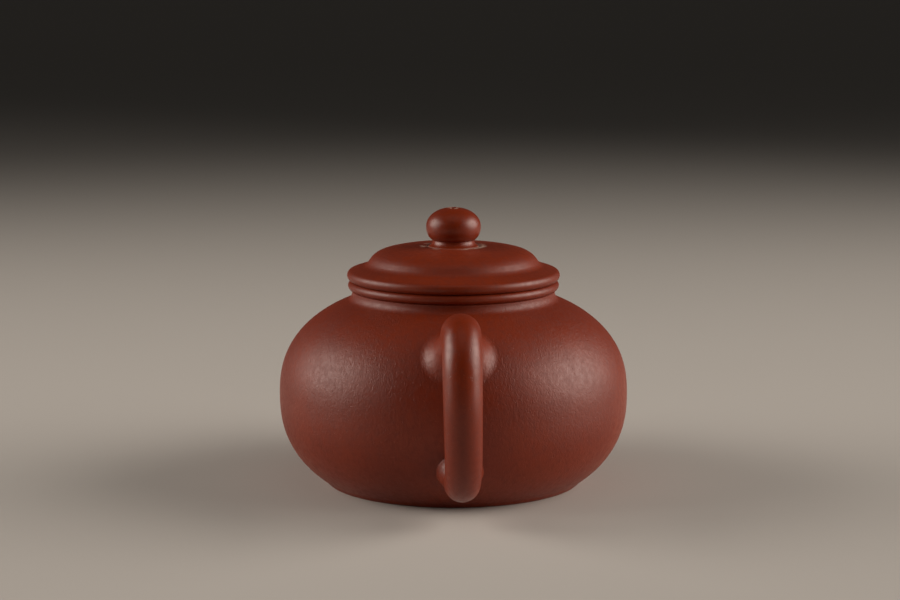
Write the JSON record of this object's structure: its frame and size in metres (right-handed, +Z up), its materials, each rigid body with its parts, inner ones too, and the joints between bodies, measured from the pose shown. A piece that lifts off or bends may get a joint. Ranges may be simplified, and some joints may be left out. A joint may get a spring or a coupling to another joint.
{
  "type": "clay teapot",
  "caption": "Squat round unglazed clay teapot with a short neck, a stepped knobbed lid, a curved spout and a looped handle.",
  "frame": {"origin": "on the pot's axis at the table it stands on, midway between the spout's and the handle's furthest points", "axes": "+X towards the spout, -X towards the handle, +Z up through the knob"},
  "size_m": [0.1466, 0.1, 0.0789],
  "materials": {
    "body_clay": "satin, unglazed, fine grain",
    "burnished_clay": "satin, unglazed, burnished smooth",
    "rim_clay": "satin, unglazed, turned smooth",
    "inner_clay": "matt, unglazed",
    "base_clay": "matt, unglazed"
  },
  "bodies": {
    "pot": {"body_wall": "body_clay", "base_disc": "base_clay", "shoulder_disc": "body_clay", "neck_ring": "body_clay", "mouth_bead": "rim_clay", "spout": "burnished_clay", "spout_root": "body_clay", "spout_strainer": "inner_clay", "handle": "burnished_clay", "handle_upper_root": "body_clay", "handle_lower_root": "body_clay"},
    "lid_seat": {"lid_flange": "inner_clay"},
    "lid": {"lid_rim": "rim_clay", "lid_plate": "body_clay", "knob_foot": "burnished_clay", "knob": "burnished_clay"}
  },
  "joints": [
    {"name": "lid_lift", "type": "slide", "parent": "pot", "child": "lid_seat", "axis": [0, 0, 1], "range_m": [0, 0.045]},
    {"name": "lid_turn", "type": "hinge", "parent": "lid_seat", "child": "lid", "pos_m": [0, 0, 0.0581], "axis": [0, 0, 1], "continuous": true}
  ]
}
